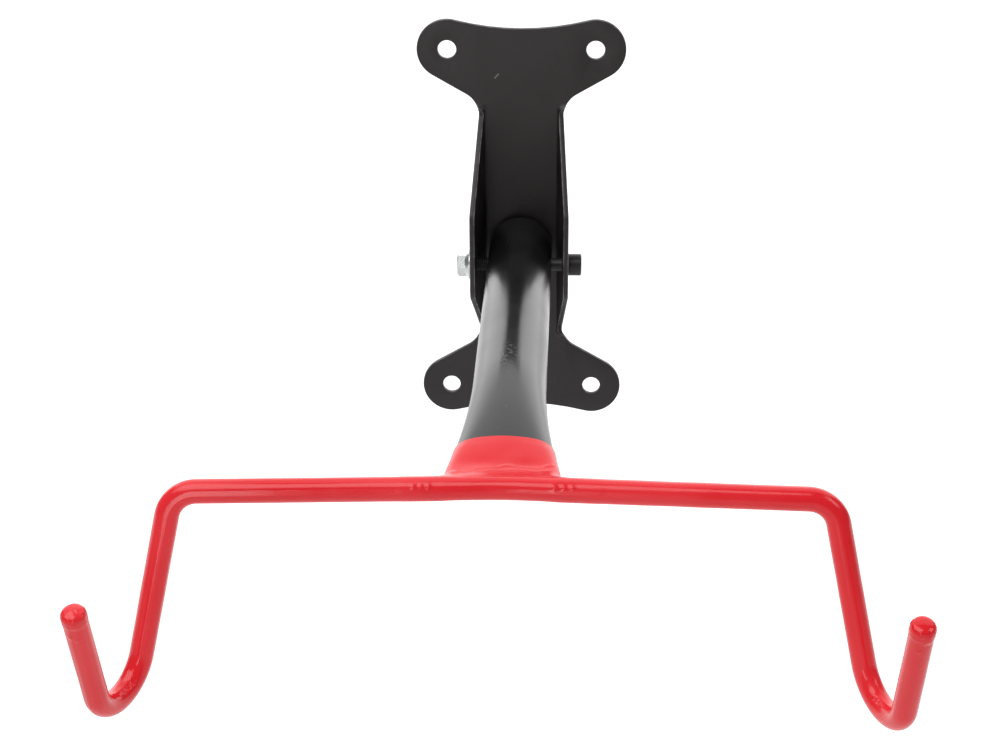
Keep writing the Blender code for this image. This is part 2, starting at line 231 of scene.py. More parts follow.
def rod_along_x(name, x_from, x_to, radius, sides):
    """A prism about the pivot's axis, a cutter or a hexagon."""
    bm = bmesh.new()
    turn = Matrix.Rotation(math.pi / 2, 4, "Y")
    middle = Matrix.Translation(PIVOT + Vector(((x_from + x_to) / 2, 0, 0)))
    bmesh.ops.create_cone(
        bm,
        cap_ends=True,
        segments=sides,
        radius1=radius,
        radius2=radius,
        depth=abs(x_to - x_from),
        matrix=middle @ turn,
    )
    return as_object(name, bm)


def smooth_share(value, low, high):
    share = min(max((value - low) / (high - low), 0.0), 1.0)
    return share * share * (3 - 2 * share)


# ---------------------------------------------------------------- shared shader effects


def put(tree, kind, inputs=None, **settings):
    """Add a node with its settings, and link or set each input."""
    made = tree.nodes.new(kind)
    for name, value in settings.items():
        setattr(made, name, value)
    for name, value in (inputs or {}).items():
        if isinstance(value, bpy.types.NodeSocket):
            tree.links.new(value, made.inputs[name])
        else:
            made.inputs[name].default_value = value
    return made


def math_node(tree, operation, *values):
    return put(tree, "ShaderNodeMath", dict(enumerate(values)), operation=operation).outputs[0]


def mix_color(tree, factor, first, second):
    return put(tree, "ShaderNodeMix", {0: factor, 6: first, 7: second}, data_type="RGBA").outputs[2]


def tint(tree, color, mask, strength, shade):
    """Lay a shade over a color where the mask is, at a strength."""
    return mix_color(tree, math_node(tree, "MULTIPLY", mask, strength), color, shade)


def vector_node(tree, operation, *values):
    return put(tree, "ShaderNodeVectorMath", dict(enumerate(values)), operation=operation).outputs


def spread(tree, value, low, high, to_low=0.0, to_high=1.0):
    """Map a value smoothly from one range to another."""
    inputs = {"Value": value, "From Min": low, "From Max": high, "To Min": to_low, "To Max": to_high}
    return put(tree, "ShaderNodeMapRange", inputs, interpolation_type="SMOOTHSTEP").outputs[0]


def new_group(name, inputs, outputs):
    group = bpy.data.node_groups.new(name, "ShaderNodeTree")
    for socket, kind, value in inputs:
        made = group.interface.new_socket(socket, in_out="INPUT", socket_type=kind)
        if value is not None:
            made.default_value = value
    for socket, kind in outputs:
        group.interface.new_socket(socket, in_out="OUTPUT", socket_type=kind)
    return group, group.nodes.new("NodeGroupInput"), group.nodes.new("NodeGroupOutput")


def make_specks_group():
    """Sparse specks of dust: a few cells of a fine cell pattern, each with a small dot in it."""
    group, given, result = new_group(
        "dust specks",
        (
            ("Vector", "NodeSocketVector", None),
            ("Scale", "NodeSocketFloat", 300.0),
            ("Share", "NodeSocketFloat", 0.1),
            ("Size", "NodeSocketFloat", 0.2),
        ),
        (("Mask", "NodeSocketFloat"),),
    )
    wanted = {"Vector": given.outputs["Vector"], "Scale": given.outputs["Scale"]}
    cells = put(group, "ShaderNodeTexVoronoi", wanted)
    pick = put(group, "ShaderNodeSeparateColor", {"Color": cells.outputs["Color"]})
    chosen = math_node(group, "LESS_THAN", pick.outputs[0], given.outputs["Share"])
    size = math_node(group, "MULTIPLY", given.outputs["Size"], pick.outputs[1])
    dot = math_node(group, "LESS_THAN", cells.outputs["Distance"], size)
    group.links.new(math_node(group, "MULTIPLY", chosen, dot), result.inputs["Mask"])
    return group


def make_peel_group():
    """The fine pebbled skin of powder coat or brushed-on paint, as a height and a cloudy value."""
    group, given, result = new_group(
        "paint peel",
        (("Vector", "NodeSocketVector", None), ("Scale", "NodeSocketFloat", 900.0)),
        (("Height", "NodeSocketFloat"), ("Cloud", "NodeSocketFloat")),
    )
    vector = given.outputs["Vector"]
    fine = {"Vector": vector, "Scale": given.outputs["Scale"], "Detail": 2.0, "Roughness": 0.5}
    peel = put(group, "ShaderNodeTexNoise", fine)
    broad_scale = math_node(group, "MULTIPLY", given.outputs["Scale"], 0.03)
    broad = {"Vector": vector, "Scale": broad_scale, "Detail": 3.0, "Roughness": 0.55}
    cloud = put(group, "ShaderNodeTexNoise", broad)
    group.links.new(peel.outputs["Fac"], result.inputs["Height"])
    group.links.new(cloud.outputs["Fac"], result.inputs["Cloud"])
    return group


def use_group(tree, group, inputs):
    return put(tree, "ShaderNodeGroup", inputs, node_tree=group).outputs


def spot_mask(tree, vector, centre, reach):
    """A soft round mask about a place, reach giving its half size along each axis."""
    offset = vector_node(tree, "SUBTRACT", vector, centre)[0]
    scaled = vector_node(tree, "DIVIDE", offset, reach)[0]
    away = vector_node(tree, "LENGTH", scaled)["Value"]
    return spread(tree, away, 0.2, 1.0, 1.0, 0.0)


def bump(tree, height, distance, strength=1.0, below=None):
    inputs = {"Height": height, "Distance": distance, "Strength": strength}
    if below is not None:
        inputs["Normal"] = below
    return put(tree, "ShaderNodeBump", inputs).outputs[0]


def start_material(name):
    material = bpy.data.materials.new(name)
    material.use_nodes = True
    tree = material.node_tree
    place = put(tree, "ShaderNodeTexCoord").outputs["Object"]
    return material, tree, tree.nodes["Principled BSDF"], place


def feed(tree, shader, socket, value):
    if isinstance(value, bpy.types.NodeSocket):
        tree.links.new(value, shader.inputs[socket])
    else:
        shader.inputs[socket].default_value = value


# ---------------------------------------------------------------- finishes


PALE_DUST = (0.5, 0.5, 0.5, 1.0)
PLATE_NICKS = ((-0.0138, 0.0930), (-0.0147, 0.0921), (-0.0155, 0.0911))
SCUFF_AHEAD = 0.182


def powder_coat(peel, specks):
    """Black powder coat with dust, three small nicks and a painted highlight on its cut edges."""
    material, tree, shader, place = start_material("black powder coat")
    skin = use_group(tree, peel, {"Vector": place, "Scale": 1500.0})
    dust = use_group(tree, specks, {"Vector": place, "Scale": 260.0, "Share": 0.16, "Size": 0.13})
    lint = use_group(tree, specks, {"Vector": place, "Scale": 900.0, "Share": 0.05, "Size": 0.30})
    deep = (0.0060, 0.0050, 0.0054, 1.0)
    worn = (0.0125, 0.0108, 0.0112, 1.0)
    color = mix_color(tree, spread(tree, skin["Cloud"], 0.35, 0.68), deep, worn)
    color = tint(tree, color, lint["Mask"], 0.10, (0.3, 0.3, 0.3, 1.0))
    color = tint(tree, color, dust["Mask"], 0.40, PALE_DUST)
    for x, z in PLATE_NICKS:
        nick = spot_mask(tree, place, (x, -SHEET, z), (0.0008, 0.004, 0.0007))
        color = tint(tree, color, nick, 0.45, (0.40, 0.38, 0.38, 1.0))
    # Painted highlight: a patchy pale grey laid over the rounded cut edges, strongest on the flanges'
    # front edges; the edges are also made a little less rough.
    rim = put(tree, "ShaderNodeAttribute", attribute_name="rim").outputs["Fac"]
    patchy = put(tree, "ShaderNodeTexNoise", {"Vector": place, "Scale": 160.0, "Detail": 3.0})
    rim = math_node(tree, "MULTIPLY", rim, spread(tree, patchy.outputs["Fac"], 0.35, 0.65, 0.25, 1.0))
    forward = put(tree, "ShaderNodeSeparateXYZ", {"Vector": place}).outputs["Y"]
    rim_highlight = math_node(tree, "MULTIPLY", rim, spread(tree, forward, -0.012, -0.006, 0.95, 0.45))
    color = mix_color(tree, rim_highlight, color, (0.30, 0.28, 0.285, 1.0))
    feed(tree, shader, "Base Color", color)
    rough = spread(tree, skin["Cloud"], 0.3, 0.7, 0.40, 0.50)
    smoother = math_node(tree, "MULTIPLY", rim, 0.15)
    feed(tree, shader, "Roughness", math_node(tree, "SUBTRACT", rough, smoother))
    feed(tree, shader, "Specular IOR Level", 0.5)
    feed(tree, shader, "Specular Tint", (1.0, 0.95, 0.96, 1.0))
    feed(tree, shader, "Normal", bump(tree, skin["Height"], 0.00006, 0.35))
    return material


def gloss_paint(peel, specks):
    """Black gloss paint with fine dust and one scuffed place on top of the tube."""
    material, tree, shader, place = start_material("black gloss paint")
    skin = use_group(tree, peel, {"Vector": place, "Scale": 700.0})
    dust = use_group(tree, specks, {"Vector": place, "Scale": 520.0, "Share": 0.12, "Size": 0.16})
    scuff_place = (-0.001, PIVOT.y - SCUFF_AHEAD, PIVOT.z + TUBE_DIAMETER / 2)
    scuff = spot_mask(tree, place, scuff_place, (0.0062, 0.021, 0.007))
    flecks = put(tree, "ShaderNodeTexNoise", {"Vector": place, "Scale": 330.0, "Detail": 6.0})
    scuff = math_node(tree, "MULTIPLY", scuff, spread(tree, flecks.outputs["Fac"], 0.50, 0.66))
    deep = (0.006, 0.006, 0.0065, 1.0)
    thin = (0.011, 0.011, 0.0115, 1.0)
    color = mix_color(tree, spread(tree, skin["Cloud"], 0.3, 0.7), deep, thin)
    color = tint(tree, color, dust["Mask"], 0.22, PALE_DUST)
    color = tint(tree, color, scuff, 0.16, (0.35, 0.36, 0.36, 1.0))
    rough = spread(tree, skin["Cloud"], 0.3, 0.7, 0.19, 0.26)
    rough = math_node(tree, "ADD", rough, math_node(tree, "MULTIPLY", scuff, 0.25))
    feed(tree, shader, "Base Color", color)
    feed(tree, shader, "Roughness", rough)
    feed(tree, shader, "Specular IOR Level", 0.55)
    feed(tree, shader, "Normal", bump(tree, skin["Height"], 0.00008, 0.22))
    return material


def red_vinyl(peel):
    """Dipped vinyl; its skin attribute holds places on the rod as if it were straight."""
    material, tree, shader, place = start_material("red vinyl")
    skin = put(tree, "ShaderNodeAttribute", attribute_name="skin").outputs["Vector"]
    soft = use_group(tree, peel, {"Vector": place, "Scale": 420.0})
    drawn = put(tree, "ShaderNodeMapping", {"Vector": skin, "Scale": (0.02, 1.0, 1.0)}).outputs[0]
    ridges = {"Vector": drawn, "Scale": 420.0, "Detail": 1.0, "Roughness": 0.45}
    ridges = put(tree, "ShaderNodeTexNoise", ridges).outputs["Fac"]
    side = put(tree, "ShaderNodeSeparateXYZ", {"Vector": place}).outputs["X"]
    depth = spread(tree, side, -0.14, 0.10, 1.15, 0.25)
    apart = put(tree, "ShaderNodeSeparateXYZ", {"Vector": skin}).outputs
    off_centre = put(tree, "ShaderNodeCombineXYZ", {"X": apart["Y"], "Y": apart["Z"]}).outputs[0]
    reach = vector_node(tree, "LENGTH", off_centre)["Value"]
    depth = math_node(tree, "MULTIPLY", depth, spread(tree, reach, 0.0060, 0.0072, 1.0, 0.0))
    centred = math_node(tree, "SUBTRACT", ridges, 0.5)
    ridge_height = math_node(tree, "MULTIPLY", centred, depth)
    light = (0.81, 0.024, 0.034, 1.0)
    rich = (0.74, 0.010, 0.018, 1.0)
    color = mix_color(tree, spread(tree, soft["Cloud"], 0.32, 0.70), rich, light)
    feed(tree, shader, "Base Color", color)
    feed(tree, shader, "Roughness", spread(tree, soft["Cloud"], 0.3, 0.7, 0.15, 0.24))
    feed(tree, shader, "Specular IOR Level", 0.42)
    feed(tree, shader, "Subsurface Weight", 0.04)
    feed(tree, shader, "Subsurface Scale", 0.002)
    base = bump(tree, ridge_height, 0.0009, 0.45)
    feed(tree, shader, "Normal", bump(tree, soft["Height"], 0.00010, 0.20, base))
    return material


def metal(name, peel, color, roughness, metallic=1.0, scale=900.0, depth=0.25):
    """A plain metal with a slightly cloudy shade and a fine grain."""
    material, tree, shader, place = start_material(name)
    skin = use_group(tree, peel, {"Vector": place, "Scale": scale})
    dark = tuple(0.72 * part for part in color) + (1.0,)
    shade = mix_color(tree, spread(tree, skin["Cloud"], 0.35, 0.65), dark, color + (1.0,))
    feed(tree, shader, "Base Color", shade)
    feed(tree, shader, "Metallic", metallic)
    feed(tree, shader, "Roughness", spread(tree, skin["Cloud"], 0.3, 0.7, roughness, roughness + 0.10))
    feed(tree, shader, "Normal", bump(tree, skin["Height"], 0.00005, depth))
    return material


# ---------------------------------------------------------------- wall plate


def arc(centre, radius, start, end):
    """Points along an arc, one at least every four degrees."""
    steps = max(3, math.ceil(abs(end - start) / math.radians(4)))
    angles = [start + (end - start) * i / steps for i in range(steps + 1)]
    return [(centre[0] + radius * math.cos(a), centre[1] + radius * math.sin(a)) for a in angles]


def rounded_corner(before, corner, after, radius):
    """The arc that rounds a corner between two straight edges."""
    to_before = (Vector(before) - Vector(corner)).normalized()
    to_after = (Vector(after) - Vector(corner)).normalized()
    half_angle = to_before.angle(to_after) / 2
    centre = Vector(corner) + (to_before + to_after).normalized() * radius / math.sin(half_angle)
    setback = radius / math.tan(half_angle)
    first = Vector(corner) + to_before * setback - centre
    last = Vector(corner) + to_after * setback - centre
    start = math.atan2(first.y, first.x)
    turn = (math.atan2(last.y, last.x) - start + math.pi) % (2 * math.pi) - math.pi
    return arc(centre, radius, start, start + turn)


def wing_edge():
    """The upper right quarter of the plate's edge, from its middle down to the neck."""
    slope_out = FLANK_SLOPE - math.pi / 2
    dip_z = LUG_Z + LUG_RADIUS - EDGE_DIP
    below = dip_z - LUG_Z
    dip_radius = (LUG_X**2 + below**2 - LUG_RADIUS**2) / (2 * (LUG_RADIUS - below))
    rise = math.atan2(dip_z + dip_radius - LUG_Z, LUG_X)
    points = arc((0.0, dip_z + dip_radius), dip_radius, -math.pi / 2, -rise)
    points += arc((LUG_X, LUG_Z), LUG_RADIUS, math.pi - rise, slope_out)[1:]
    outward = Vector((math.cos(slope_out), math.sin(slope_out)))
    fillet_x = NECK_HALF + NECK_FILLET
    reach = outward.dot(Vector((LUG_X, LUG_Z))) + LUG_RADIUS + NECK_FILLET
    fillet_z = (reach - outward.x * fillet_x) / outward.y
    return points + arc((fillet_x, fillet_z), NECK_FILLET, slope_out + math.pi, math.pi)


def blank_edge():
    """The whole edge of the flat blank and the height at which its side tabs start."""
    wing = wing_edge()
    neck_z = wing[-1][1]
    lean = BEND_INSIDE + SHEET - BEND_MIDDLE_RADIUS * math.cos(BEND_ANGLE)
    tab = BEND_START + BEND_MIDDLE_RADIUS * BEND_ANGLE + (FLANGE_DEPTH - lean) / math.sin(BEND_ANGLE)
    upper = (tab, FLANGE_FRONT_ABOVE + PIVOT.z)
    lower = (tab, PIVOT.z - FLANGE_FRONT_BELOW)
    half = wing + rounded_corner(wing[-1], upper, lower, FLANGE_CORNER)
    half += rounded_corner(upper, lower, (NECK_HALF, -neck_z), FLANGE_CORNER)
    half += [(x, -z) for x, z in reversed(wing)]
    return half + [(-x, z) for x, z in reversed(half[1:-1])], neck_z


def folded(place, neck_z):
    """Where a point of the blank lands when its side tabs are folded forward."""
    run = abs(place.x) - BEND_START
    if run <= 0:
        return place
    limit = BEND_ANGLE * smooth_share(neck_z + BEND_FADE - abs(place.z), 0.0, BEND_FADE)
    angle = min(run / BEND_MIDDLE_RADIUS, limit)
    beyond = run - angle * BEND_MIDDLE_RADIUS
    radius = BEND_INSIDE + SHEET + place.y
    out = BEND_START + radius * math.sin(angle) + beyond * math.cos(angle)
    forward = BEND_INSIDE + SHEET - radius * math.cos(angle) + beyond * math.sin(angle)
    return Vector((math.copysign(out, place.x), -forward, place.z))


def ring_of(bm, points):
    """Join the points into a closed ring of edges in the plate's plane."""
    verts = [bm.verts.new((x, 0.0, z)) for x, z in points]
    return [bm.edges.new((verts[i - 1], verts[i])) for i in range(len(verts))]


def make_wall_plate():
    """Cut the flat blank, give it its thickness, round its rims, fold its tabs and bore them."""
    outline, neck_z = blank_edge()
    bm = bmesh.new()
    edges = ring_of(bm, outline)
    for side_x in (-1, 1):
        for side_z in (-1, 1):
            hole = arc((side_x * LUG_X, side_z * LUG_Z), SCREW_HOLE_RADIUS, 0.0, 2 * math.pi)
            edges += ring_of(bm, hole[:-1])
    bmesh.ops.triangle_fill(bm, use_beauty=True, edges=edges, normal=(0, 1, 0))
    bend_length = BEND_MIDDLE_RADIUS * BEND_ANGLE
    cuts = []
    for side in (-1, 1):
        for i in range(BEND_STRIPS + 1):
            cuts.append(((side * (BEND_START + bend_length * i / BEND_STRIPS), 0, 0), (1, 0, 0)))
        for i in range(BEND_STRIPS + 1):
            cuts.append(((0, 0, side * (neck_z + BEND_FADE * i / BEND_STRIPS)), (0, 0, 1)))
    for place, normal in cuts:
        bisect(bm, place, normal)
    extruded = bmesh.ops.extrude_face_region(bm, geom=bm.faces[:], use_keep_orig=True)
    front = [item for item in extruded["geom"] if isinstance(item, bmesh.types.BMVert)]
    bmesh.ops.translate(bm, verts=front, vec=(0.0, -SHEET, 0.0))
    bmesh.ops.recalc_face_normals(bm, faces=bm.faces)
    steep = math.radians(60)
    rims = [edge for edge in bm.edges if edge.is_manifold and edge.calc_face_angle() > steep]
    shape = {"offset": CUT_EDGE_ROUND, "segments": 3, "profile": 0.5, "affect": "EDGES"}
    rounded = bmesh.ops.bevel(bm, geom=rims, material=-1, **shape)
    on_rim = set(rounded["faces"])
    # Marks the verts inside the rounded cut edges, where the powder coat paints its highlight.
    rim = bm.verts.layers.float.new("rim")
    for vert in bm.verts:
        vert[rim] = float(all(face in on_rim for face in vert.link_faces))
    for vert in bm.verts:
        vert.co = folded(vert.co, neck_z)
    plate = as_object("rack_wall_plate", bm)
    across = 2 * NECK_HALF
    bore = rod_along_x("flange bore", -across, across, BOLT_RADIUS + GAP, BORE_SIDES)
    return combine(plate, "DIFFERENCE", bore)


# ---------------------------------------------------------------- pivot screw and nut


def make_bolt():
    """A socket-head screw turned from one profile, its thread as plain rings, with a hexagon socket."""
    low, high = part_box("pivot_bolt")
    end, top = low.x, high.x
    seat = top - 2 * BOLT_RADIUS
    chamfer = 0.0007
    profile = [(end, 0.0), (end, BOLT_CORE_RADIUS - 0.0004), (end + 0.0006, BOLT_CORE_RADIUS)]
    turns = int(THREAD_LENGTH / THREAD_PITCH)
    for turn in range(turns):
        start = end + THREAD_START + turn * THREAD_PITCH
        profile += [(start, BOLT_CORE_RADIUS), (start + THREAD_RISE * THREAD_PITCH, BOLT_RADIUS)]
        profile += [(start + THREAD_CREST * THREAD_PITCH, BOLT_RADIUS)]
    shank = end + THREAD_START + turns * THREAD_PITCH
    profile += [(shank, BOLT_CORE_RADIUS), (shank + 0.0008, BOLT_RADIUS), (seat, BOLT_RADIUS)]
    profile += [(seat, HEAD_RADIUS - 0.0003), (seat + 0.0003, HEAD_RADIUS)]
    profile += [(top - chamfer, HEAD_RADIUS), (top - 0.0002, HEAD_RADIUS - chamfer + 0.0001)]
    profile += [(top, HEAD_RADIUS - chamfer - 0.0003), (top, 0.0)]
    bolt = lathe("rack_pivot_bolt", profile)
    key_radius = SOCKET_WIDTH / math.sqrt(3)
    key = rod_along_x("key socket", top - SOCKET_DEPTH, top + SOCKET_DEPTH, key_radius, 6)
    mouth = [(top - 0.0009, 0.0), (top - 0.0009, 0.0026), (top + 0.001, 0.0045), (top + 0.001, 0.0)]
    return combine(bolt, "DIFFERENCE", key, lathe("socket mouth", mouth))


def make_nut():
    """A hexagon with a turned face, a flange against the plate and a plain bore."""
    low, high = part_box("flange_nut")
    outer, seat = low.x, high.x
    corner = NUT_WIDTH / math.sqrt(3)
    nut = rod_along_x("rack_flange_nut", outer, seat - 0.001, corner, 6)
    turned_top = [(outer, 0.0), (outer, NUT_WIDTH / 2 - 0.0002)]
    turned_top += [(outer + 0.0006, corner - 0.0005), (outer + 0.0016, corner + 0.0005)]
    turned_top += [(seat, corner + 0.0005), (seat, 0.0)]
    combine(nut, "INTERSECT", lathe("nut chamfer", turned_top))
    rim = NUT_FLANGE_RADIUS
    flange = [(seat, 0.0), (seat, rim - 0.0003), (seat - 0.0003, rim), (seat - 0.0009, rim)]
    flange += [(seat - 0.0013, rim - 0.0004), (seat - 0.0034, NUT_WIDTH / 2 + 0.0001)]
    flange += [(seat - 0.0040, NUT_WIDTH / 2 - 0.0005), (seat - 0.0040, 0.0)]
    combine(nut, "UNION", lathe("nut flange", flange))
    bore = [(outer - 0.001, 0.0), (outer - 0.001, 0.0053), (outer + 0.0005, BOLT_RADIUS + GAP)]
    bore += [(seat + 0.001, BOLT_RADIUS + GAP), (seat + 0.001, 0.0)]
    return combine(nut, "DIFFERENCE", lathe("nut bore", bore))


# ---------------------------------------------------------------- arm tube


def behind_bar(place):
    """How far behind the crossbar's line a place is."""
    return place.y - PIVOT.y + ARM_LENGTH


def bar_sweep(x):
    """How far forward of its middle the crossbar has run at x."""
    return BAR_SWEEP * abs(x) / BAR_HALF_LENGTH


def pressed(place, grow=0.0):
    """Where a point of the round tube goes when the tube is pressed; grow is a skin's thickness.

    The point is given by its place along the arm and its angle round it. The section is between an oval
    and a slot with round ends, and grows wider as it grows lower.
    """
    forward = PIVOT.y - place.y
    angle = math.atan2(place.z - PIVOT.z, place.x)
    share = min(max((forward - ARM_LENGTH + FLATTEN_BEHIND) / (FLATTEN_BEHIND - FLAT_BEHIND), 0.0), 1.0)
    height = TUBE_DIAMETER + (TUBE_END_HEIGHT - TUBE_DIAMETER) * share**PRESS_CURVE
    half_flat = math.pi * (TUBE_DIAMETER - height) / 4
    radius = height / 2 + grow
    half_width = half_flat + radius
    oval = Vector((half_width * math.cos(angle), radius * math.sin(angle)))
    length = half_flat + radius * math.pi / 2
    run = length * (1 - abs(1 - (abs(angle) % math.pi) / (math.pi / 2)))
    if run < radius * math.pi / 2:
        turn = run / radius
        slot = Vector((half_flat + radius * math.cos(turn), radius * math.sin(turn)))
    else:
        slot = Vector((length - run, radius))
    slot = Vector((math.copysign(slot.x, math.cos(angle)), math.copysign(slot.y, math.sin(angle))))
    section = oval.lerp(slot, SLOT_SHARE_START + SLOT_SHARE_GAIN * share**4)
    return Vector((section.x, place.y, PIVOT.z + section.y))


DENTS = (
    # x, behind the bar, half size along x, half size behind, depth
    (-0.0105, 0.0170, 0.0085, 0.0036, 0.00055),
    (0.0105, 0.0155, 0.0070, 0.0034, 0.00070),
    (0.0030, 0.0245, 0.0060, 0.0055, 0.00045),
)
TROUGH_DEPTH = 0.0013
TROUGH_RISE = 0.010
TROUGH_END = 0.030
TROUGH_FADE = 0.016
DENTED_HALF_WIDTH = 0.028
DENTED_FADE = 0.010


def top_relief(place):
    """The dents in the pressed end's upper side: one trough behind the rod and three small ones."""
    behind = behind_bar(place)
    if place.z < PIVOT.z or not 0.0 < behind < 0.045:
        return 0.0
    height = -TROUGH_DEPTH * min(behind / TROUGH_RISE, 1.0)
    height *= smooth_share(TROUGH_END - behind, 0.0, TROUGH_FADE)
    for x, back, half_x, half_back, depth in DENTS:
        away = ((place.x - x) / half_x) ** 2 + ((behind - back) / half_back) ** 2
        height -= depth * math.exp(-away)
    return height * smooth_share(DENTED_HALF_WIDTH - abs(place.x), 0.0, DENTED_FADE)


def tube_shell(start, end, step, capped, grow=0.0, dented=True):
    """The tube's outside from start to end along the arm, as an open or capped sleeve."""
    bm = bmesh.new()
    turn = Matrix.Rotation(math.pi / 2, 4, "X")
    place = Matrix.Translation(Vector((0.0, PIVOT.y - start, PIVOT.z)))
    circle = {"segments": TUBE_SIDES, "radius": TUBE_DIAMETER / 2, "matrix": place @ turn}
    bmesh.ops.create_circle(bm, cap_ends=capped, **circle)
    edges = bm.edges[:]
    count = max(1, round((end - start) / step))
    for _ in range(count):
        made = bmesh.ops.extrude_edge_only(bm, edges=edges)["geom"]
        verts = [item for item in made if isinstance(item, bmesh.types.BMVert)]
        edges = [item for item in made if isinstance(item, bmesh.types.BMEdge)]
        bmesh.ops.translate(bm, verts=verts, vec=(0.0, (start - end) / count, 0.0))
    if capped:
        bmesh.ops.contextual_create(bm, geom=edges)
    for vert in bm.verts:
        vert.co = pressed(vert.co, grow)
        vert.co.z += top_relief(vert.co) if dented else 0.0
    bmesh.ops.recalc_face_normals(bm, faces=bm.faces)
    return bm


def make_arm_tube():
    """Press the tube, slant its rear end, give it its wall, bore it and saddle it round the rod."""
    bm = tube_shell(-HEEL_LOW - 0.001, ARM_LENGTH, 0.0025, False)
    slant = (HEEL_LOW - HEEL_HIGH) / TUBE_DIAMETER
    middle = PIVOT + Vector((0.0, (HEEL_LOW + HEEL_HIGH) / 2, 0.0))
    bisect(bm, middle, (0.0, 1.0, slant), clear_outer=True)
    tube = as_object("rack_arm_tube", bm)
    wall = tube.modifiers.new("wall", "SOLIDIFY")
    wall.thickness = TUBE_WALL
    wall.offset = -1.0
    wall.use_even_offset = True
    settle(tube)
    bore = rod_along_x("tube bore", -TUBE_DIAMETER, TUBE_DIAMETER, BOLT_RADIUS + GAP, BORE_SIDES)
    combine(tube, "DIFFERENCE", bore)
    return carve(tube, rod_cutter("rod saddle", GAP))


# ---------------------------------------------------------------- vinyl-dipped crossbar and hooks


def rounded_path(corners, bends, arc_step=math.radians(2)):
    """A line through the corners with an arc of its own radius at each inner one."""
    points = [corners[0]]
    for before, corner, after, radius in zip(corners, corners[1:], corners[2:], bends):
        to_before = (before - corner).normalized()
        to_after = (after - corner).normalized()
        half_angle = to_before.angle(to_after) / 2
        turn = math.pi - 2 * half_angle
        middle = (to_before + to_after).normalized()
        centre = corner + middle * radius / math.sin(half_angle)
        tangent = (to_after - to_before).normalized()
        steps = max(2, math.ceil(turn / arc_step))
        for i in range(steps + 1):
            angle = turn * (i / steps - 0.5)
            points.append(centre + radius * (tangent * math.sin(angle) - middle * math.cos(angle)))
    return points + [corners[-1]]


def rod_line():
    """The rod's centre line from the left tip to the right tip."""
    place = PIVOT - Vector((0.0, ARM_LENGTH, 0.0))
    middle = place.copy()
    right = []
    for out, forward, up in HOOK_STEPS:
        place = place + Vector((out, -forward, up))
        right.append(place)
    left = [Vector((-corner.x, corner.y, corner.z)) for corner in reversed(right)]
    return rounded_path(left + [middle] + right, ROD_BENDS)


def rod_samples(line, spacing=0.0005):
    """Evenly spaced samples of the line, each its place, run, direction and up, and the whole run."""
    samples = []
    run = 0.0
    up = Vector((0.0, 0.0, 1.0))
    for near, far in zip(line, line[1:]):
        ahead = far - near
        length = ahead.length
        ahead.normalize()
        up = (up - ahead * up.dot(ahead)).normalized()
        count = max(1, round(length / spacing))
        for i in range(count):
            samples.append((near.lerp(far, i / count), run + length * i / count, ahead, up))
        run += length
    samples.append((line[-1], run, ahead, up))
    return samples, run


def add_rod(bm, line, radius):
    """Add a round rod along the line, made from a bevelled curve."""
    curve = bpy.data.curves.new("rod", "CURVE")
    curve.dimensions = "3D"
    curve.bevel_depth = radius
    curve.bevel_resolution = 8
    curve.use_fill_caps = True
    spline = curve.splines.new("POLY")
    spline.points.add(len(line) - 1)
    for point, place in zip(spline.points, line):
        point.co = (*place, 1.0)
    helper = bpy.data.objects.new("rod", curve)
    bpy.context.scene.collection.objects.link(helper)
    graph = bpy.context.evaluated_depsgraph_get()
    mesh = bpy.data.meshes.new_from_object(helper.evaluated_get(graph))
    bm.from_mesh(mesh)
    bmesh.ops.remove_doubles(bm, verts=bm.verts, dist=SAME_PLACE)
    bmesh.ops.recalc_face_normals(bm, faces=bm.faces)
    bpy.data.objects.remove(helper, do_unlink=True)
    bpy.data.meshes.remove(mesh)


def rod_cutter(name, grow):
    bm = bmesh.new()
    add_rod(bm, rod_line(), ROD_RADIUS + grow)
    return as_object(name, bm)


def add_tip(bm, place, ahead, radius):
    """A low dome on a rod's end."""
    turn = Vector((0.0, 0.0, 1.0)).rotation_difference(ahead).to_matrix().to_4x4()
    squat = Matrix.Diagonal((1.0, 1.0, TIP_DOME / radius, 1.0))
    matrix = Matrix.Translation(place) @ turn @ squat
    bmesh.ops.create_uvsphere(bm, u_segments=40, v_segments=20, radius=radius, matrix=matrix)


def add_web(bm, side, grow, toe):
    """The filled corner between pressed end and rod: ovals bridged into a horn along the rod."""
    half_width = math.pi * (TUBE_DIAMETER - TUBE_END_HEIGHT) / 4 + TUBE_END_HEIGHT / 2
    root = half_width - WELD_ROOT - grow
    reach = WELD_ROOT + WELD_LENGTH + 2 * grow
    steps = 10
    rings = []
    for i in range(steps + 1):
        share = i / steps
        taper = (1 - share) ** 2
        x = side * (root + reach * share)
        half_y = toe + (WELD_HALF_WIDTH - toe) * taper + grow
        half_z = toe + (TUBE_END_HEIGHT / 2 - WELD_BELOW_TUBE - toe) * taper + grow
        centre = PIVOT + Vector((x, WELD_BEHIND * taper - ARM_LENGTH - bar_sweep(x), 0.0))
        turn = Matrix.Rotation(math.pi / 2, 4, "Y")
        squat = Matrix.Diagonal((half_z, half_y, 1.0, 1.0))
        matrix = Matrix.Translation(centre) @ turn @ squat
        oval = {"cap_ends": i in (0, steps), "segments": 40, "radius": 1.0, "matrix": matrix}
        made = bmesh.ops.create_circle(bm, **oval)
        verts = set(made["verts"])
        rings.append([edge for edge in bm.edges if edge.verts[0] in verts and edge.verts[1] in verts])
    for near, far in zip(rings, rings[1:]):
        bmesh.ops.bridge_loops(bm, edges=near + far)


def solid_from(name, build, *given):
    bm = bmesh.new()
    build(bm, *given)
    bmesh.ops.recalc_face_normals(bm, faces=bm.faces)
    return as_object(name, bm)


